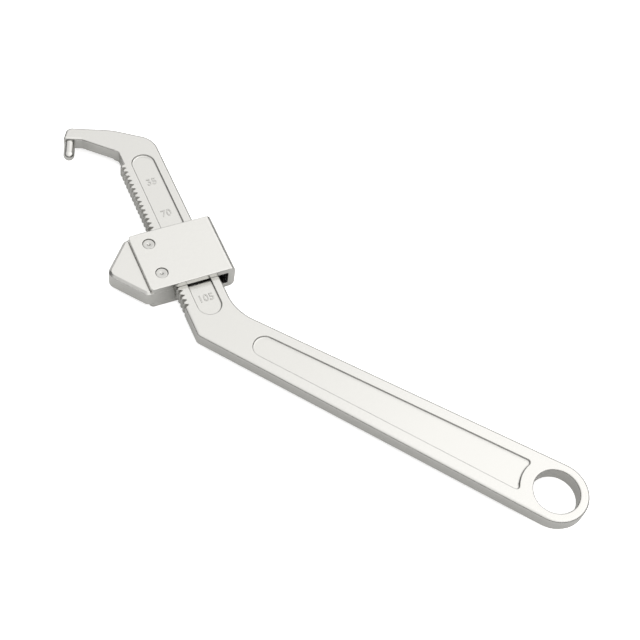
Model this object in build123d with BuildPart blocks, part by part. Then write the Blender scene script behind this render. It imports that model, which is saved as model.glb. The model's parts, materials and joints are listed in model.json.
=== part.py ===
"""Adjustable hook wrench for hydrant caps and ring nuts: forged body, round hook pin, sliding jaw.

The body lies flat. X runs along the handle from the hanging hole to the head, Z is up through the
thickness, and the origin is the centre of the hanging hole at mid thickness. The shank turns off
the handle's axis at the bend, and everything on it is drawn in the shank's own frame: u runs along
the shank towards the hook, v runs across it from the plain spine to the toothed side.
"""

import os
from math import cos, radians, sin, tan

from build123d import *

# ---- forged body: handle -------------------------------------------------------------------
overall_length = 285.0
body_thickness = 7.2
end_radius = 14.0
hang_hole_radius = 9.9
handle_taper = 1.48  # degrees on each edge, narrowing towards the bend
body_edge_radius = 1.2
hole_edge_radius = 0.6
panel_depth = 1.1
panel_floor_radius = 0.7
panel_margin = 5.6  # metal between the hanging hole and the handle panel
panel_half_width = 8.1  # at the hanging hole
panel_taper = 1.12
panel_end = 18.1  # from the bend back to the panel's round end
panel_corner_radius = 1.6
panel_end_roundness = 0.97  # 1 makes the panel's far end a full round

# ---- forged body: shank --------------------------------------------------------------------
bend_angle = 39.4
shank_width = 20.3
bend_inside_radius = 23.0
bend_outside_radius = 3.0
window_width = 10.9  # long round-ended recess in each face of the shank
window_shift = -0.5
window_start = 4.6
window_end = 98.9
window_depth = 1.1
window_floor_radius = 0.7
tooth_pitch = 2.6
tooth_depth = 2.1
tooth_crest = 0.5
rack_start = 11.4
rack_run_out = 8.5  # least plain edge between the last tooth and the hook
rack_relief_depth = 2.2
rack_relief_slope = 1.0

# ---- forged body: hook ---------------------------------------------------------------------
hook_root_u = 103.6
hook_relief_radius = 1.8
hook_crown_u = 106.6
hook_crown_radius = 10.0
hook_back = (117.5, 6.3)
hook_back_radius = 26.0
hook_nose = (125.0, 25.8)
hook_nose_radius = 3.0
pin_seat = (115.8, 21.6)  # inner end of the flat that the pin stands on
pin_seat_length = 8.6
pin_seat_radius = 0.8
pin_lean = 20.9  # degrees between the pin and the shank

# ---- hook pin ------------------------------------------------------------------------------
pin_radius = 2.5
pin_reach = 9.5
pin_tang_radius = 1.5
pin_tang_length = 4.0
pin_place = 5.7  # along its seat

# ---- yoke ----------------------------------------------------------------------------------
yoke_start = 22.6
yoke_length = 30.8
leg_thickness = 2.8
web_thickness = 3.3
leg_clearance = 0.15  # between each leg and the body's face
spring_space = 4.3  # between the spine and the web
yoke_outer_radius = 2.6
yoke_inner_radius = 0.8
leg_reach = 11.3  # past the tips of the body's teeth
leg_corner_radius = 1.8
leg_edge_radius = 0.35

# ---- jaw block -----------------------------------------------------------------------------
mesh_clearance = 0.15  # between the block's teeth and the body's
shoulder_clearance = 0.1
nose_thickness = 9.2
nose_shoulder = 1.6  # straight part of the nose past the legs
nose_height = 13.0
nose_apex_shift = 0.8
nose_apex_radius = 4.0
nose_shoulder_radius = 2.6
nose_chamfer = 1.2

# ---- rivets --------------------------------------------------------------------------------
rivet_radius = 2.0
rivet_clearance = 0.04
rivet_head_radius = 2.75
rivet_spacing = 16.5
rivet_shift = 0.5
rivet_place = 3.75  # past the tips of the body's teeth
rivet_seat_depth = 1.7
rivet_head_sunk = 0.8
rivet_crown = 0.35
dimple_radius = 0.9
dimple_depth = 0.6

# ---- leaf spring ---------------------------------------------------------------------------
leaf_thickness = 0.6
leaf_width = 6.0
leaf_length = 24.0
leaf_clearance = 0.1
stud_radius = 1.4
stud_height = 1.3
stud_clearance = 0.2

# ---- modelling -----------------------------------------------------------------------------
cut_overlap = 1.0  # how far a cut is drawn past the edge that it opens
same_place = 1e-6

# ---- worked out ----------------------------------------------------------------------------
half_thickness = body_thickness / 2
half_width = shank_width / 2
root_v = half_width - tooth_depth
relief_v = half_width - rack_relief_depth
relief_mouth_v = half_width + cut_overlap
rack_teeth = int((hook_root_u - rack_run_out - rack_start) // tooth_pitch)
rack_end = rack_start + rack_teeth * tooth_pitch
leg_inner_z = half_thickness + leg_clearance
leg_outer_z = leg_inner_z + leg_thickness
web_inner_v = -half_width - spring_space
web_outer_v = web_inner_v - web_thickness
leg_edge_v = half_width + leg_reach
yoke_end = yoke_start + yoke_length
yoke_middle = yoke_start + yoke_length / 2
nose_start_v = leg_edge_v + shoulder_clearance
nose_shoulder_v = leg_edge_v + nose_shoulder
rivet_v = half_width + rivet_place
rivet_seat_radius = rivet_head_radius + rivet_clearance
rivet_centres = [(yoke_middle + rivet_shift + side * rivet_spacing / 2, rivet_v) for side in (-1, 1)]
groove_centres = [rack_start + (number + 0.5) * tooth_pitch for number in range(rack_teeth)]

lean = radians(pin_lean)
pin_seat_end = (
    pin_seat[0] + pin_seat_length * sin(lean),
    pin_seat[1] + pin_seat_length * cos(lean),
)
pin_base = (
    pin_seat[0] + pin_place * sin(lean),
    pin_seat[1] + pin_place * cos(lean),
)
inner_face_run = (pin_seat[0] - hook_root_u) / (pin_seat[1] - relief_v)
hook_corner_u = hook_root_u + inner_face_run * (half_width - relief_v)


def corner_centre(before, corner, after, radius):
    """Centre of the arc that rounds a corner between two straight edges."""
    along = (Vector(*before) - Vector(*corner)).normalized()
    onward = (Vector(*after) - Vector(*corner)).normalized()
    half_angle = radians(along.get_angle(onward) / 2)
    return Vector(*corner) + (along + onward).normalized() * (radius / sin(half_angle))


# The hook's nose is the furthest point from the hanging hole, so it sets where the bend lies.
turned = Plane.XY.rotated((0, 0, -bend_angle))
nose_centre = corner_centre(hook_back, hook_nose, pin_seat_end, hook_nose_radius)
head_reach = turned.from_local_coords(nose_centre).X + hook_nose_radius
bend_x = overall_length - end_radius - head_reach
shank = Plane((bend_x, 0, 0), x_dir=turned.x_dir, z_dir=(0, 0, 1))
panel_end_x = bend_x - panel_end
panel_end_half_width = panel_half_width - panel_end_x * tan(radians(panel_taper))
panel_end_radius = panel_end_half_width * panel_end_roundness
towards_nose = Axis(shank.origin, shank.y_dir)
stud_plane = Plane(
    shank.from_local_coords((yoke_middle, web_inner_v, 0)),
    x_dir=(0, 0, 1),
    z_dir=shank.y_dir,
)
pin_plane = Plane(
    shank.from_local_coords((*pin_base, 0)),
    x_dir=(0, 0, 1),
    z_dir=shank.from_local_coords((-cos(lean), sin(lean), 0)) - shank.origin,
)


def on_shank(u, v):
    """The point of the body's own plane that lies at u, v in the shank's frame."""
    point = shank.from_local_coords((u, v, 0))
    return (point.X, point.Y)


def handle_corner(side, v):
    """Where the handle's tapered edge, on the side given, meets the shank's line at this v."""
    taper = radians(handle_taper)
    bend = radians(bend_angle)
    half_at_zero = end_radius / cos(taper)
    # Handle edge: y = side * (half_at_zero - x tan(taper)). Shank line: x sin + y cos = v + offset.
    offset = bend_x * sin(bend)
    x = (v + offset - side * half_at_zero * cos(bend)) / (sin(bend) - side * tan(taper) * cos(bend))
    return (x, side * (half_at_zero - x * tan(taper)))


def round_corner(sketch, point, radius):
    """Round the corner of a sketch that lies nearest to the point."""
    corner = sketch.vertices().sort_by_distance(Vector(*point))[0]
    fillet(corner, radius)


def tooth_space(centre_u, shift):
    """Outline of one tooth space of the rack, moved by shift along v and drawn past its mouth."""
    mouth = (tooth_pitch - tooth_crest) / 2
    floor = tooth_crest / 2
    tip = half_width + shift
    root = root_v + shift
    Polyline(
        (centre_u - mouth, tip + cut_overlap),
        (centre_u - mouth, tip),
        (centre_u - floor, root),
        (centre_u + floor, root),
        (centre_u + mouth, tip),
        (centre_u + mouth, tip + cut_overlap),
        close=True,
    )


# ---- the forged body -----------------------------------------------------------------------
bend_inside = handle_corner(-1, -half_width)
bend_outside = handle_corner(1, half_width)
taper_touch = (end_radius * sin(radians(handle_taper)), end_radius * cos(radians(handle_taper)))
crown = (hook_crown_u, -half_width)

with BuildPart() as wrench_body:
    with BuildSketch(Plane.XY.offset(-half_thickness)) as outline:
        with BuildLine():
            Polyline(
                (taper_touch[0], -taper_touch[1]),
                bend_inside,
                on_shank(*crown),
                on_shank(*hook_back),
                on_shank(*hook_nose),
                on_shank(*pin_seat_end),
                on_shank(*pin_seat),
                on_shank(hook_corner_u, half_width),
                bend_outside,
                (taper_touch[0], taper_touch[1]),
                close=True,
            )
        make_face()
        round_corner(outline, bend_inside, bend_inside_radius)
        round_corner(outline, bend_outside, bend_outside_radius)
        round_corner(outline, on_shank(*crown), hook_crown_radius)
        round_corner(outline, on_shank(*hook_back), hook_back_radius)
        round_corner(outline, on_shank(*hook_nose), hook_nose_radius)
        round_corner(outline, on_shank(*pin_seat_end), pin_seat_radius)
        round_corner(outline, on_shank(*pin_seat), pin_seat_radius)
        Circle(end_radius)
    extrude(amount=body_thickness)
    fillet(wrench_body.faces().filter_by(Axis.Z).edges(), body_edge_radius)
    # Run-out of the rack into the hook's inside corner.
    with BuildSketch(shank.offset(-half_thickness)) as relief:
        with BuildLine():
            Polyline(
                (rack_end, relief_mouth_v),
                (rack_end + rack_relief_slope, relief_v),
                (hook_root_u, relief_v),
                (hook_root_u + inner_face_run * (relief_mouth_v - relief_v), relief_mouth_v),
                close=True,
            )
        make_face()
        round_corner(relief, (hook_root_u, relief_v), hook_relief_radius)
    extrude(amount=body_thickness, mode=Mode.SUBTRACT)
    with BuildSketch(shank.offset(-half_thickness)) as rack:
        for centre_u in groove_centres:
            with BuildLine():
                tooth_space(centre_u, 0)
            make_face()
    extrude(amount=body_thickness, mode=Mode.SUBTRACT)
    Hole(hang_hole_radius)
    fillet(
        wrench_body.edges().filter_by(GeomType.CIRCLE).filter_by(lambda edge: edge.radius == hang_hole_radius),
        hole_edge_radius,
    )
    # The long recess in each face of the shank.
    for side in (-1, 1):
        with BuildSketch(shank.offset(side * half_thickness)):
            with Locations(((window_start + window_end) / 2, window_shift)):
                SlotOverall(window_end - window_start, window_width)
        extrude(amount=-side * window_depth, mode=Mode.SUBTRACT)
    # The panel in each face of the handle, which follows the handle's taper and the hanging hole.
    for side in (-1, 1):
        with BuildSketch(Plane.XY.offset(side * half_thickness)) as panel:
            with BuildLine():
                Polyline(
                    (0, -panel_half_width),
                    (panel_end_x, -panel_end_half_width),
                    (panel_end_x, panel_end_half_width),
                    (0, panel_half_width),
                    close=True,
                )
            make_face()
            for end_side in (-1, 1):
                round_corner(panel, (panel_end_x, end_side * panel_end_half_width), panel_end_radius)
            Circle(hang_hole_radius + panel_margin, mode=Mode.SUBTRACT)
            fillet(panel.vertices().sort_by(Axis.X)[:2], panel_corner_radius)
        extrude(amount=-side * panel_depth, mode=Mode.SUBTRACT)
    floor_edges = wrench_body.edges().filter_by(
        lambda edge: abs(abs(edge.center().Z) - half_thickness + panel_depth) < same_place
    )
    fillet(floor_edges, panel_floor_radius)
    with BuildSketch(pin_plane):
        Circle(pin_tang_radius)
    extrude(amount=-pin_tang_length, mode=Mode.SUBTRACT)
wrench_body.part.label = "wrench_body"

# ---- the hook pin --------------------------------------------------------------------------
with BuildPart() as hook_pin:
    with BuildSketch(pin_plane):
        Circle(pin_tang_radius)
    extrude(amount=-pin_tang_length)
    with BuildSketch(pin_plane):
        Circle(pin_radius)
    extrude(amount=pin_reach - pin_radius)
    with Locations(pin_plane.offset(pin_reach - pin_radius)):
        Sphere(pin_radius)
hook_pin.part.label = "hook_pin"

# ---- the yoke ------------------------------------------------------------------------------
across = Plane(
    shank.from_local_coords((yoke_start, 0, 0)),
    x_dir=shank.y_dir,
    z_dir=shank.x_dir,
)
with BuildPart() as yoke:
    with BuildSketch(across) as channel:
        with Locations(((web_outer_v + leg_edge_v) / 2, 0)):
            Rectangle(leg_edge_v - web_outer_v, 2 * leg_outer_z)
        fillet(channel.vertices().group_by(Axis.X)[0], yoke_outer_radius)
        with BuildSketch(mode=Mode.PRIVATE) as hollow:
            with Locations(((web_inner_v + leg_edge_v) / 2, 0)):
                Rectangle(leg_edge_v - web_inner_v, 2 * leg_inner_z)
            fillet(hollow.vertices().group_by(Axis.X)[0], yoke_inner_radius)
        add(hollow.sketch, mode=Mode.SUBTRACT)
    extrude(amount=yoke_length)
    fillet(yoke.edges().filter_by(Axis.Z).group_by(towards_nose)[-1], leg_corner_radius)
    # Break the outer edges of both legs, but not the line where each runs into the web's round.
    leg_faces = yoke.faces().filter_by(Axis.Z).sort_by(Axis.Z)
    lower_rim = leg_faces[0].edges().sort_by(towards_nose)[1:]
    upper_rim = leg_faces[-1].edges().sort_by(towards_nose)[1:]
    fillet(lower_rim + upper_rim, leg_edge_radius)
    # A counterbore for each rivet head, and the rivet holes through both legs.
    for side in (-1, 1):
        with BuildSketch(shank.offset(side * leg_outer_z)):
            with Locations(*rivet_centres):
                Circle(rivet_seat_radius)
        extrude(amount=-side * rivet_seat_depth, mode=Mode.SUBTRACT)
    with BuildSketch(shank.offset(-leg_outer_z)):
        with Locations(*rivet_centres):
            Circle(rivet_radius)
    extrude(amount=2 * leg_outer_z, mode=Mode.SUBTRACT)
    with BuildSketch(stud_plane):
        Circle(stud_radius)
    extrude(amount=stud_height)
yoke.part.label = "yoke"

# ---- the jaw block -------------------------------------------------------------------------
block_start_v = half_width + mesh_clearance
apex = (yoke_middle + nose_apex_shift, nose_shoulder_v + nose_height)
block_teeth = [u for u in groove_centres if yoke_start + tooth_pitch / 2 < u < yoke_end - tooth_pitch / 2]

with BuildPart() as jaw_block:
    with BuildSketch(shank.offset(-nose_thickness / 2)) as nose:
        with BuildLine():
            Polyline(
                (yoke_start, nose_start_v),
                (yoke_start, nose_shoulder_v),
                apex,
                (yoke_end, nose_shoulder_v),
                (yoke_end, nose_start_v),
                close=True,
            )
        make_face()
        round_corner(nose, apex, nose_apex_radius)
        round_corner(nose, (yoke_start, nose_shoulder_v), nose_shoulder_radius)
        round_corner(nose, (yoke_end, nose_shoulder_v), nose_shoulder_radius)
    extrude(amount=nose_thickness)
    rims = jaw_block.faces().filter_by(Axis.Z).edges()
    chamfer(
        rims.filter_by(lambda edge: abs(shank.to_local_coords(edge.center()).Y - nose_start_v) > same_place),
        nose_chamfer,
    )
    with BuildSketch(shank.offset(-leg_inner_z)):
        with Locations((yoke_middle, (block_start_v + nose_start_v) / 2)):
            Rectangle(yoke_length, nose_start_v - block_start_v)
        for centre_u in block_teeth:
            with BuildLine():
                tooth_space(centre_u, mesh_clearance)
            make_face()
    extrude(amount=2 * leg_inner_z)
    with BuildSketch(shank.offset(-leg_inner_z)):
        with Locations(*rivet_centres):
            Circle(rivet_radius)
    extrude(amount=2 * leg_inner_z, mode=Mode.SUBTRACT)
jaw_block.part.label = "jaw_block"

# ---- the rivets ----------------------------------------------------------------------------
pin_wall = rivet_radius - rivet_clearance
head_under = leg_outer_z - rivet_seat_depth
head_rim = leg_outer_z - rivet_head_sunk


def rivet_at(u, v):
    """A rivet through both legs and the block, with a crowned head sunk in each leg."""
    centre = shank.from_local_coords((u, v, 0))
    upright = Plane(centre, x_dir=(1, 0, 0), z_dir=(0, -1, 0))
    with BuildPart() as rivet:
        with BuildSketch(upright) as profile:
            with BuildLine():
                Line((0, 0), (pin_wall, 0))
                Line((pin_wall, 0), (pin_wall, head_under))
                Line((pin_wall, head_under), (rivet_head_radius, head_under))
                Line((rivet_head_radius, head_under), (rivet_head_radius, head_rim))
                Spline(
                    (rivet_head_radius, head_rim),
                    (dimple_radius, head_rim + rivet_crown),
                    tangents=((0, 1), (-1, 0)),
                )
                Line((dimple_radius, head_rim + rivet_crown), (0, head_rim + rivet_crown - dimple_depth))
                Line((0, head_rim + rivet_crown - dimple_depth), (0, 0))
            make_face()
            mirror(about=Plane.XZ)
        revolve(axis=Axis(centre, (0, 0, 1)))
    return rivet


rivet_grip_side = rivet_at(*rivet_centres[0])
rivet_grip_side.part.label = "rivet_grip_side"
rivet_hook_side = rivet_at(*rivet_centres[1])
rivet_hook_side.part.label = "rivet_hook_side"

# ---- the leaf spring -----------------------------------------------------------------------
foot_v = -half_width - leaf_clearance
crown_v = web_inner_v + leaf_clearance

with BuildPart() as leaf_spring:
    with BuildSketch(shank.offset(-leaf_width / 2)):
        with BuildLine():
            inner = ThreePointArc(
                (yoke_middle - leaf_length / 2, foot_v),
                (yoke_middle, crown_v + leaf_thickness),
                (yoke_middle + leaf_length / 2, foot_v),
            )
            outer = ThreePointArc(
                (yoke_middle - leaf_length / 2, foot_v - leaf_thickness),
                (yoke_middle, crown_v),
                (yoke_middle + leaf_length / 2, foot_v - leaf_thickness),
            )
            Line(inner @ 0, outer @ 0)
            Line(inner @ 1, outer @ 1)
        make_face()
    extrude(amount=leaf_width)
    with BuildSketch(stud_plane):
        Circle(stud_radius + stud_clearance)
    extrude(amount=spring_space, mode=Mode.SUBTRACT)
leaf_spring.part.label = "leaf_spring"

os.makedirs("parts", exist_ok=True)
for piece in (wrench_body, hook_pin, yoke, jaw_block, rivet_grip_side, rivet_hook_side, leaf_spring):
    export_step(piece.part, f"parts/{piece.part.label}.step")
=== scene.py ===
"""Adjustable hook wrench for hydrant caps and ring nuts: its plating, its size figures and its studio."""

import json
import math

import bpy
from bpy.props import FloatProperty, FloatVectorProperty, PointerProperty, StringProperty
from bpy.types import Operator, Panel, PropertyGroup
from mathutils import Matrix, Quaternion, Vector


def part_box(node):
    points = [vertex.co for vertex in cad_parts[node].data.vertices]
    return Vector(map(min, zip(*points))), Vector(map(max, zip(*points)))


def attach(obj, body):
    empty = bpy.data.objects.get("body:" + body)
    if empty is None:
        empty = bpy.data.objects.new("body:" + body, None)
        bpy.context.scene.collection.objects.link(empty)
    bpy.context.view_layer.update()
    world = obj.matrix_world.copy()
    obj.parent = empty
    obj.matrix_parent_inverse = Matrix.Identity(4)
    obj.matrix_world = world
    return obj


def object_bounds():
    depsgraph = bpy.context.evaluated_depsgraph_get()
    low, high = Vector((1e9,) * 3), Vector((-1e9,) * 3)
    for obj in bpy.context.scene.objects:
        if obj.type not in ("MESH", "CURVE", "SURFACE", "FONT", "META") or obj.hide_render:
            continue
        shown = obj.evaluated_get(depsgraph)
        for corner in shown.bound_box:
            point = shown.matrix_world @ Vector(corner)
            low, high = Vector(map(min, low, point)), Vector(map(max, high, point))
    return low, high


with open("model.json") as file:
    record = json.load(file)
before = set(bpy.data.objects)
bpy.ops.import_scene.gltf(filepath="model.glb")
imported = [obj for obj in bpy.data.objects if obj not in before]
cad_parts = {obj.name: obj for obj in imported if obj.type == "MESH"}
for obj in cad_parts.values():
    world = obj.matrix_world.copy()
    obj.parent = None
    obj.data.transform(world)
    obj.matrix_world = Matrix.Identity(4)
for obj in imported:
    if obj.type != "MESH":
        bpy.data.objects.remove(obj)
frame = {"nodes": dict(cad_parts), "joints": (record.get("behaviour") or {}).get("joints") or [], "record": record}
cad_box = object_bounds()

bl_info = {
    "name": "Adjustable Hook Wrench",
    "version": (1, 0, 0),
    "blender": (4, 5, 0),
    "location": "View3D > Sidebar > Hook Wrench",
    "description": "Finishes a forged adjustable hook wrench and sets up its studio",
    "category": "Object",
}

MM = 0.001
JOINTS = {joint["name"]: joint for joint in frame["joints"]}
ALONG_SHANK = Vector(JOINTS["jaw_travel"]["axis"])
ACROSS_SHANK = Vector(JOINTS["jaw_lift"]["axis"])
MOUNTS = {mount["name"]: mount for mount in frame["record"]["mounts"]}
YOKE_MIDDLE = Vector((*MOUNTS["resting_face"]["pos_m"][:2], 0.0))
BODY_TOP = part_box("wrench_body")[1].z
RECESS_MIDDLE = -0.5 * MM  # across the shank, from its middle line
WIDE_PLACE = -24.0 * MM  # along the shank, from the jaw's middle as it stands
MIDDLE_PLACE = 25.3 * MM
NARROW_PLACE = 44.6 * MM
FIGURE_EMBED = 0.05 * MM  # how far each figure reaches into the floor that it stands on
DARK_FLOOR_GLOW = (0.15, 0.15, 0.14, 1.0)
WHITE = (1.0, 1.0, 1.0, 1.0)
TENT_COLOUR = (1.0, 0.995, 0.985, 1.0)
PANEL_OFFSET = Vector((-0.25, -0.55, 0.95))
PANEL_WIDTH = 0.6
PANEL_WATTS = 0.15
FLOOR_REACH = 12  # in lengths of the wrench's diagonal


# ---- sizes and colours that a user would change ------------------------------------------------


class PlatingSettings(PropertyGroup):
    """Colours and texture sizes of the plated steel."""

    colour: FloatVectorProperty(
        name="Plating colour",
        description="Colour that the satin plating reflects",
        subtype="COLOR",
        size=3,
        min=0.0,
        max=1.0,
        default=(0.60, 0.595, 0.575),
    )
    worn_colour: FloatVectorProperty(
        name="Rubbed colour",
        description="Colour of the plating where handling has rubbed its edges bright",
        subtype="COLOR",
        size=3,
        min=0.0,
        max=1.0,
        default=(0.72, 0.715, 0.70),
    )
    spring_colour: FloatVectorProperty(
        name="Spring colour",
        description="Colour of the tempered spring strip",
        subtype="COLOR",
        size=3,
        min=0.0,
        max=1.0,
        default=(0.22, 0.235, 0.27),
    )
    roughness: FloatProperty(
        name="Satin roughness",
        description="Mean roughness of the plated forgings",
        subtype="FACTOR",
        min=0.0,
        max=1.0,
        default=0.24,
    )
    mottle_size: FloatProperty(
        name="Mottle size",
        description="Width of the soft dimples that the blasted forging leaves under its plating",
        unit="LENGTH",
        default=1.6 * MM,
    )
    mottle_depth: FloatProperty(
        name="Mottle depth",
        description="Depth of those dimples",
        unit="LENGTH",
        default=0.035 * MM,
    )
    grain_size: FloatProperty(
        name="Grain size",
        description="Width of the fine grain of the satin",
        unit="LENGTH",
        default=0.22 * MM,
    )
    edge_softness: FloatProperty(
        name="Edge softness",
        description="Radius to which the tumbled edges are rounded",
        unit="LENGTH",
        default=0.50 * MM,
    )


class FigureSettings(PropertyGroup):
    """The raised figures in the shank's recess, which give the opening in millimetres."""

    wide_text: StringProperty(
        name="Wide end",
        description="Figure at the handle end of the rack",
        default="105",
    )
    middle_text: StringProperty(
        name="Middle",
        description="Figure past the jaw's middle place",
        default="70",
    )
    narrow_text: StringProperty(
        name="Narrow end",
        description="Figure at the hook end of the rack",
        default="35",
    )
    size: FloatProperty(
        name="Figure size",
        description="Line height of the raised figures",
        unit="LENGTH",
        default=5.0 * MM,
    )
    height: FloatProperty(
        name="Figure relief",
        description="How far the figures stand above the recess floor",
        unit="LENGTH",
        default=0.22 * MM,
    )
    recess_depth: FloatProperty(
        name="Recess depth",
        description="Depth of the shank's recess below its face",
        unit="LENGTH",
        default=1.1 * MM,
    )


class StudioSettings(PropertyGroup):
    """Floor, light and camera."""

    floor_colour: FloatVectorProperty(
        name="Floor colour",
        description="Colour of the plain floor",
        subtype="COLOR",
        size=3,
        min=0.0,
        max=1.0,
        default=(0.93, 0.93, 0.93),
    )
    tent_light: FloatProperty(name="Tent light", description="Brightness of the lit side", default=1.50)
    tent_dark: FloatProperty(name="Tent dark", description="Brightness of the unlit side", default=0.13)
    tent_side: FloatVectorProperty(
        name="Tent side",
        description="Direction from the wrench to the middle of the lit side",
        subtype="DIRECTION",
        size=3,
        default=(0.15, -0.55, 0.82),
    )
    floor_shade: FloatProperty(
        name="Floor shade",
        description="Share of the floor's colour that shows in the plating",
        subtype="FACTOR",
        default=0.62,
    )
    floor_glow: FloatProperty(
        name="Floor glow",
        description="Light that lifts the floor's shadow",
        default=0.6,
    )
    camera_place: FloatVectorProperty(
        name="Camera place",
        description="Where the camera stands",
        subtype="TRANSLATION",
        unit="LENGTH",
        size=3,
        default=(0.0420, 0.2703, 0.4443),
    )
    camera_aim: FloatVectorProperty(
        name="Camera aim",
        description="The point on the wrench's middle plane that the camera looks at",
        subtype="TRANSLATION",
        unit="LENGTH",
        size=3,
        default=(0.1218, -0.0268, 0.0),
    )
    camera_roll: FloatProperty(
        name="Camera roll",
        description="Turn of the camera about its own line of sight",
        subtype="ANGLE",
        default=math.radians(13.6),
    )
    lens: FloatProperty(name="Lens", description="Focal length in millimetres", default=69.45)


# ---- node trees written as expressions ---------------------------------------------------------


class Socket:
    """A node's output that can stand in arithmetic: each operator adds one Math node."""

    def __init__(self, graph, link):
        self.graph = graph
        self.link = link

    def maths(self, operation, first, second, clamp=False):
        settings = {"operation": operation, "use_clamp": clamp}
        return self.graph.node("ShaderNodeMath", settings, {0: first, 1: second})

    def __add__(self, other):
        return self.maths("ADD", self, other)

    def __radd__(self, other):
        return self.maths("ADD", other, self)

    def __sub__(self, other):
        return self.maths("SUBTRACT", self, other)

    def __rsub__(self, other):
        return self.maths("SUBTRACT", other, self)

    def __mul__(self, other):
        return self.maths("MULTIPLY", self, other)

    def __rmul__(self, other):
        return self.maths("MULTIPLY", other, self)

    def limited(self):
        return self.maths("ADD", self, 0.0, clamp=True)

    def ramp(self, low, high):
        """0 below low, 1 above high, and straight between them."""
        return ((self - low) * (1.0 / (high - low))).limited()


class Graph:
    """A node tree with one way to add a node."""

    def __init__(self, tree):
        self.tree = tree

    def node(self, kind, settings=None, values=None, out=0):
        """Add a node, set its settings, then its inputs, and return one of its outputs."""
        made = self.tree.nodes.new(kind)
        for name, value in (settings or {}).items():
            setattr(made, name, value)
        for key, value in (values or {}).items():
            for one in value if isinstance(value, list) else [value]:
                if isinstance(one, Socket):
                    self.tree.links.new(one.link, made.inputs[key])
                else:
                    made.inputs[key].default_value = one
        return Socket(self, made.outputs[out]) if made.outputs else made

    def noise(self, place, size, detail=2.0, roughness=0.5):
        values = {"Vector": place, "Scale": 1.0 / size, "Detail": detail, "Roughness": roughness}
        return self.node("ShaderNodeTexNoise", None, values, "Fac")

    def mix_colour(self, factor, first, second):
        values = {0: factor, 6: first, 7: second}
        return self.node("ShaderNodeMix", {"data_type": "RGBA"}, values, 2)


def opaque(colour):
    return (*colour, 1.0)


# ---- finishes ----------------------------------------------------------------------------------


def new_material(name):
    """An empty material, its graph and its object coordinates."""
    material = bpy.data.materials.new(name)
    material.use_nodes = True
    material.node_tree.nodes.clear()
    graph = Graph(material.node_tree)
    place = graph.node("ShaderNodeTexCoord", out="Object")
    return material, graph, place


def surface(graph, values):
    """Give the graph its shader and output."""
    shader = graph.node("ShaderNodeBsdfPrincipled", None, values)
    graph.node("ShaderNodeOutputMaterial", None, {"Surface": shader})


def plated_steel(name, plating, roughness, mottle=1.0, grain=1.0, shine=1.0):
    """Satin plating: soft dimples, fine grain, cloudy sheen and edges rubbed a little brighter."""
    material, graph, place = new_material(name)
    dimples = graph.noise(place, plating.mottle_size, detail=3.0, roughness=0.6)
    fine = graph.noise(place, plating.grain_size, detail=2.0, roughness=0.7)
    clouds = graph.noise(place, 14 * plating.mottle_size, detail=4.0, roughness=0.55)
    soft_normal = graph.node("ShaderNodeBevel", {"samples": 6}, {"Radius": plating.edge_softness})
    true_normal = graph.node("ShaderNodeNewGeometry", out="True Normal")
    facing = graph.node(
        "ShaderNodeVectorMath", {"operation": "DOT_PRODUCT"}, {0: soft_normal, 1: true_normal}, "Value"
    )
    rubbed = (1.0 - facing).ramp(0.01, 0.22) * clouds.ramp(0.35, 0.6)
    tone = (dimples - 0.5) * 0.10 * mottle + (clouds - 0.5) * 0.10 + (fine - 0.5) * 0.05 * grain
    plain = scaled(plating.colour, shine)
    toned = graph.mix_colour((tone + 0.5).limited(), scaled(plain, 0.90), scaled(plain, 1.10))
    colour = graph.mix_colour(rubbed * 0.7, toned, opaque(plating.worn_colour))
    sheen = (roughness + (clouds - 0.5) * 0.10 + (fine - 0.5) * 0.10 * grain - rubbed * 0.08).limited()
    relief = dimples * mottle + fine * 0.12 * grain
    normal = graph.node(
        "ShaderNodeBump",
        None,
        {"Strength": 1.0, "Distance": plating.mottle_depth, "Height": relief, "Normal": soft_normal},
    )
    surface(graph, {"Base Color": colour, "Metallic": 1.0, "Roughness": sheen, "Normal": normal})
    return material


def scaled(colour, factor):
    return (*(min(1.0, part * factor) for part in colour[:3]), 1.0)


def wear_everywhere(node_name, material):
    """Put a finish on a CAD node."""
    slots = frame["nodes"][node_name].data.materials
    slots.clear()
    slots.append(material)


class WRENCH_OT_plate_body(Operator):
    """Plate the forged body in satin"""

    bl_idname = "wrench.plate_body"
    bl_label = "Plate the Body"

    def execute(self, context):
        plating = context.scene.wrench_plating
        wear_everywhere("wrench_body", plated_steel("satin_body", plating, plating.roughness))
        return {"FINISHED"}


class WRENCH_OT_plate_pin(Operator):
    """Plate the turned hook pin, which is smoother than the forgings"""

    bl_idname = "wrench.plate_pin"
    bl_label = "Plate the Hook Pin"

    def execute(self, context):
        plating = context.scene.wrench_plating
        finish = plated_steel("bright_pin", plating, 0.7 * plating.roughness, mottle=0.3, grain=0.6)
        wear_everywhere("hook_pin", finish)
        return {"FINISHED"}


class WRENCH_OT_plate_jaw(Operator):
    """Plate the sliding jaw: the bent yoke and its forged block"""

    bl_idname = "wrench.plate_jaw"
    bl_label = "Plate the Jaw"

    def execute(self, context):
        plating = context.scene.wrench_plating
        finish = plated_steel("satin_yoke", plating, plating.roughness, mottle=2.0, shine=1.06)
        wear_everywhere("yoke", finish)
        wear_everywhere("jaw_block", plated_steel("satin_jaw", plating, plating.roughness, shine=1.04))
        return {"FINISHED"}


class WRENCH_OT_finish_rivets(Operator):
    """Finish the two rivets, whose heads the setting tool has burnished"""

    bl_idname = "wrench.finish_rivets"
    bl_label = "Finish the Rivets"

    def execute(self, context):
        plating = context.scene.wrench_plating
        roughness = 0.5 * plating.roughness
        finish = plated_steel("burnished_rivet", plating, roughness, mottle=0.4, grain=0.8, shine=0.86)
        for name in ("rivet_grip_side", "rivet_hook_side"):
            wear_everywhere(name, finish)
        return {"FINISHED"}


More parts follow.
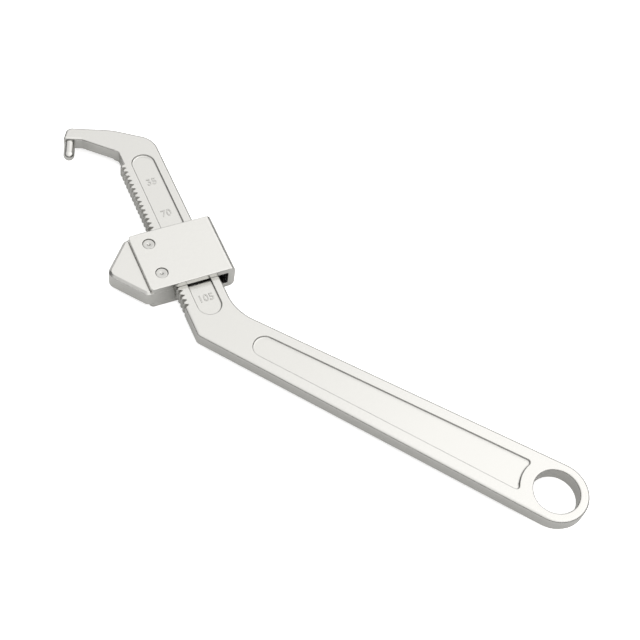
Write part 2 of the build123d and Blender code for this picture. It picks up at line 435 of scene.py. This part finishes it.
class WRENCH_OT_temper_spring(Operator):
    """Give the leaf spring its blued, lengthwise brushed strip finish"""

    bl_idname = "wrench.temper_spring"
    bl_label = "Temper the Spring"

    def execute(self, context):
        plating = context.scene.wrench_plating
        material, graph, place = new_material("tempered_strip")
        stretched = graph.node(
            "ShaderNodeMapping",
            None,
            {"Vector": place, "Rotation": (0.0, 0.0, -heading(ALONG_SHANK)), "Scale": (0.04, 1.0, 1.0)},
        )
        brushed = graph.noise(stretched, plating.grain_size, detail=3.0, roughness=0.6)
        clouds = graph.noise(place, 3 * plating.mottle_size, detail=3.0)
        plain = opaque(plating.spring_colour)
        streaks = (brushed * 0.6 + clouds * 0.4).limited()
        colour = graph.mix_colour(streaks, scaled(plain, 0.8), scaled(plain, 1.25))
        relief = {"Strength": 0.6, "Distance": 0.2 * plating.mottle_depth, "Height": brushed}
        normal = graph.node("ShaderNodeBump", None, relief)
        sheen = 0.30 + (clouds - 0.5) * 0.2
        surface(graph, {"Base Color": colour, "Metallic": 1.0, "Roughness": sheen, "Normal": normal})
        wear_everywhere("leaf_spring", material)
        return {"FINISHED"}


# ---- raised figures ----------------------------------------------------------------------------


def heading(direction):
    """Angle of a level direction about the vertical."""
    return math.atan2(direction.y, direction.x)


def figure_tree(material):
    """Geometry tree: a raised figure on the floor of the recess, and its twin on the other face."""
    tree = bpy.data.node_groups.new("raised_figure", "GeometryNodeTree")
    inputs = (
        ("Figure", "NodeSocketString"),
        ("Size", "NodeSocketFloat"),
        ("Relief", "NodeSocketFloat"),
        ("Floor", "NodeSocketFloat"),
        ("Turn", "NodeSocketFloat"),
        ("Place", "NodeSocketVector"),
    )
    sockets = {
        name: tree.interface.new_socket(name, in_out="INPUT", socket_type=kind)
        for name, kind in inputs
    }
    tree.interface.new_socket("Geometry", in_out="OUTPUT", socket_type="NodeSocketGeometry")
    graph = Graph(tree)
    given = tree.nodes.new("NodeGroupInput")
    size, relief, floor, turn, place = (Socket(graph, given.outputs[number]) for number in range(1, 6))
    text = graph.node(
        "GeometryNodeStringToCurves",
        {"align_x": "CENTER", "align_y": "MIDDLE"},
        {"String": Socket(graph, given.outputs[0]), "Size": size},
    )
    outline = graph.node("GeometryNodeRealizeInstances", None, {0: text})
    face = graph.node("GeometryNodeFillCurve", None, {"Curve": outline})
    rise = {"Mesh": face, "Offset Scale": relief, "Individual": False}
    sides = graph.node("GeometryNodeExtrudeMesh", None, rise)
    back = graph.node("GeometryNodeFlipFaces", None, {0: face})
    loose = graph.node("GeometryNodeJoinGeometry", None, {0: [sides, back]})
    closed = graph.node("GeometryNodeMergeByDistance", None, {0: loose, "Distance": 0.001 * MM})
    lift = graph.node("ShaderNodeCombineXYZ", None, {2: floor})
    upper = graph.node("GeometryNodeTransform", None, {"Geometry": closed, "Translation": lift})
    lower = graph.node("GeometryNodeTransform", None, {"Geometry": upper, "Rotation": (math.pi, 0.0, 0.0)})
    both = graph.node("GeometryNodeJoinGeometry", None, {0: [upper, lower]})
    spin = graph.node("ShaderNodeCombineXYZ", None, {2: turn})
    seat = {"Geometry": both, "Rotation": spin, "Translation": place}
    placed = graph.node("GeometryNodeTransform", None, seat)
    solid = graph.node("GeometryNodeRealizeInstances", None, {0: placed})
    finished = graph.node("GeometryNodeSetMaterial", None, {"Geometry": solid, "Material": material})
    graph.node("NodeGroupOutput", None, {0: finished})
    return tree, {name: socket.identifier for name, socket in sockets.items()}


class WRENCH_OT_raise_figures(Operator):
    """Raise the opening figures in the shank's recess, on both faces"""

    bl_idname = "wrench.raise_figures"
    bl_label = "Raise the Figures"

    def execute(self, context):
        figures = context.scene.wrench_figures
        plating = context.scene.wrench_plating
        material = plated_steel("satin_figure", plating, 0.85 * plating.roughness, mottle=0.5)
        tree, keys = figure_tree(material)
        floor = BODY_TOP - figures.recess_depth - FIGURE_EMBED
        places = (
            ("figure_wide", figures.wide_text, WIDE_PLACE),
            ("figure_middle", figures.middle_text, MIDDLE_PLACE),
            ("figure_narrow", figures.narrow_text, NARROW_PLACE),
        )
        for name, text, along in places:
            piece = bpy.data.objects.new(name, bpy.data.meshes.new(name))
            context.scene.collection.objects.link(piece)
            modifier = piece.modifiers.new("raised_figure", "NODES")
            modifier.node_group = tree
            centre = YOKE_MIDDLE + ALONG_SHANK * along + ACROSS_SHANK * RECESS_MIDDLE
            modifier[keys["Figure"]] = text
            modifier[keys["Size"]] = figures.size
            modifier[keys["Relief"]] = figures.height + FIGURE_EMBED
            modifier[keys["Floor"]] = floor
            modifier[keys["Turn"]] = heading(-ACROSS_SHANK)
            modifier[keys["Place"]] = tuple(centre)
            seen = piece.evaluated_get(context.evaluated_depsgraph_get())
            mesh = bpy.data.meshes.new_from_object(seen)
            piece.modifiers.remove(modifier)
            piece.data = mesh
            if not mesh.polygons:
                raise RuntimeError(f"the figure {text} came out empty")
            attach(piece, "wrench")
        return {"FINISHED"}


# ---- studio ------------------------------------------------------------------------------------


def pale_floor(studio):
    """A wide plain floor under the wrench."""
    low, high = cad_box
    reach = FLOOR_REACH * (high - low).length
    middle = (low + high) / 2
    corners = [
        (middle.x + side_x * reach, middle.y + side_y * reach, low.z)
        for side_x, side_y in ((-1, -1), (1, -1), (1, 1), (-1, 1))
    ]
    mesh = bpy.data.meshes.new("floor")
    mesh.from_pydata(corners, [], [(0, 1, 2, 3)])
    floor = bpy.data.objects.new("floor", mesh)
    bpy.context.scene.collection.objects.link(floor)
    material, graph, place = new_material("pale_floor")
    shade = graph.noise(place, 0.4, detail=2.0)
    colour = graph.mix_colour(shade, scaled(studio.floor_colour, 0.99), scaled(studio.floor_colour, 1.01))
    # Only the camera sees the pale floor. The plating shows a darker one, which draws its edges.
    seen = graph.node("ShaderNodeLightPath", out="Is Camera Ray")
    own = graph.mix_colour(seen, scaled(studio.floor_colour, studio.floor_shade), colour)
    glow = graph.mix_colour(seen, DARK_FLOOR_GLOW, WHITE)
    values = {"Base Color": own, "Roughness": 0.9, "Specular IOR Level": 0.0}
    surface(graph, {**values, "Emission Color": glow, "Emission Strength": studio.floor_glow})
    mesh.materials.append(material)


def light_tent(studio):
    """A tent of even light that fades towards the horizon, so that edges read against faces."""
    world = bpy.data.worlds.new("light_tent")
    bpy.context.scene.world = world
    world.use_nodes = True
    world.node_tree.nodes.clear()
    graph = Graph(world.node_tree)
    direction = graph.node("ShaderNodeTexCoord", out="Generated")
    height = graph.node("ShaderNodeSeparateXYZ", None, {0: direction}, "Z")
    aside = graph.node("ShaderNodeSeparateXYZ", None, {0: direction}, "X")
    middle = tuple(Vector(studio.tent_side).normalized())
    nearness = graph.node(
        "ShaderNodeVectorMath", {"operation": "DOT_PRODUCT"}, {0: direction, 1: middle}, "Value"
    )
    lit = (nearness.ramp(0.30, 0.80) * 0.25 + 0.75) * height.ramp(0.33, 0.47) * (1.0 - 0.45 * aside)
    strength = studio.tent_dark + lit * (studio.tent_light - studio.tent_dark)
    # Only the camera sees the pale backdrop. The plating shows the tent.
    seen = graph.node("ShaderNodeLightPath", out="Is Camera Ray")
    shown = strength * (1.0 - seen) + seen
    light = graph.node("ShaderNodeBackground", None, {"Color": TENT_COLOUR, "Strength": shown})
    graph.node("ShaderNodeOutputWorld", None, {"Surface": light})


def soft_panel(name, place, aim, width, depth, watts):
    """A soft panel that faces the point aimed at."""
    data = bpy.data.lights.new(name, "AREA")
    data.shape = "RECTANGLE"
    data.size = width
    data.size_y = depth
    data.energy = watts
    panel = bpy.data.objects.new(name, data)
    panel.location = place
    panel.rotation_mode = "QUATERNION"
    panel.rotation_quaternion = (aim - place).to_track_quat("-Z", "Y")
    bpy.context.scene.collection.objects.link(panel)


def studio_camera(studio):
    """A camera at the product's three-quarter view."""
    data = bpy.data.cameras.new("studio_camera")
    data.lens = studio.lens
    data.sensor_width = 36.0
    data.clip_start = 0.01
    camera = bpy.data.objects.new("studio_camera", data)
    bpy.context.scene.collection.objects.link(camera)
    place = Vector(studio.camera_place)
    sight = Vector(studio.camera_aim) - place
    upright = sight.to_track_quat("-Z", "Y")
    camera.location = place
    camera.rotation_mode = "QUATERNION"
    camera.rotation_quaternion = upright @ Quaternion((0.0, 0.0, 1.0), studio.camera_roll)
    bpy.context.scene.camera = camera


class WRENCH_OT_set_stage(Operator):
    """Lay the floor, light the tent and set the camera"""

    bl_idname = "wrench.set_stage"
    bl_label = "Set the Stage"

    def execute(self, context):
        studio = context.scene.wrench_studio
        context.scene.view_settings.view_transform = "Standard"
        pale_floor(studio)
        light_tent(studio)
        aim = Vector(studio.camera_aim)
        soft_panel("soft_panel_back", aim + PANEL_OFFSET, aim, PANEL_WIDTH, PANEL_WIDTH, PANEL_WATTS)
        studio_camera(studio)
        return {"FINISHED"}


# ---- panel, registration and run ---------------------------------------------------------------

OPERATORS = (
    WRENCH_OT_plate_body,
    WRENCH_OT_plate_pin,
    WRENCH_OT_plate_jaw,
    WRENCH_OT_finish_rivets,
    WRENCH_OT_temper_spring,
    WRENCH_OT_raise_figures,
    WRENCH_OT_set_stage,
)
SETTINGS = {
    "wrench_plating": PlatingSettings,
    "wrench_figures": FigureSettings,
    "wrench_studio": StudioSettings,
}


class WRENCH_PT_builder(Panel):
    """Buttons that finish the wrench, with their settings"""

    bl_label = "Hook Wrench"
    bl_idname = "WRENCH_PT_builder"
    bl_space_type = "VIEW_3D"
    bl_region_type = "UI"
    bl_category = "Hook Wrench"

    def draw(self, context):
        for operator in OPERATORS:
            self.layout.operator(operator.bl_idname)
        for name, group in SETTINGS.items():
            box = self.layout.box()
            for setting in group.__annotations__:
                box.prop(getattr(context.scene, name), setting)


def register():
    for group in SETTINGS.values():
        bpy.utils.register_class(group)
    for name, group in SETTINGS.items():
        setattr(bpy.types.Scene, name, PointerProperty(type=group))
    for operator in OPERATORS:
        bpy.utils.register_class(operator)
    bpy.utils.register_class(WRENCH_PT_builder)


def unregister():
    bpy.utils.unregister_class(WRENCH_PT_builder)
    for operator in reversed(OPERATORS):
        bpy.utils.unregister_class(operator)
    for name in SETTINGS:
        delattr(bpy.types.Scene, name)
    for group in SETTINGS.values():
        bpy.utils.unregister_class(group)


def main():
    register()
    for operator in OPERATORS:
        family, verb = operator.bl_idname.split(".")
        getattr(getattr(bpy.ops, family), verb)()


if __name__ == "__main__":
    main()
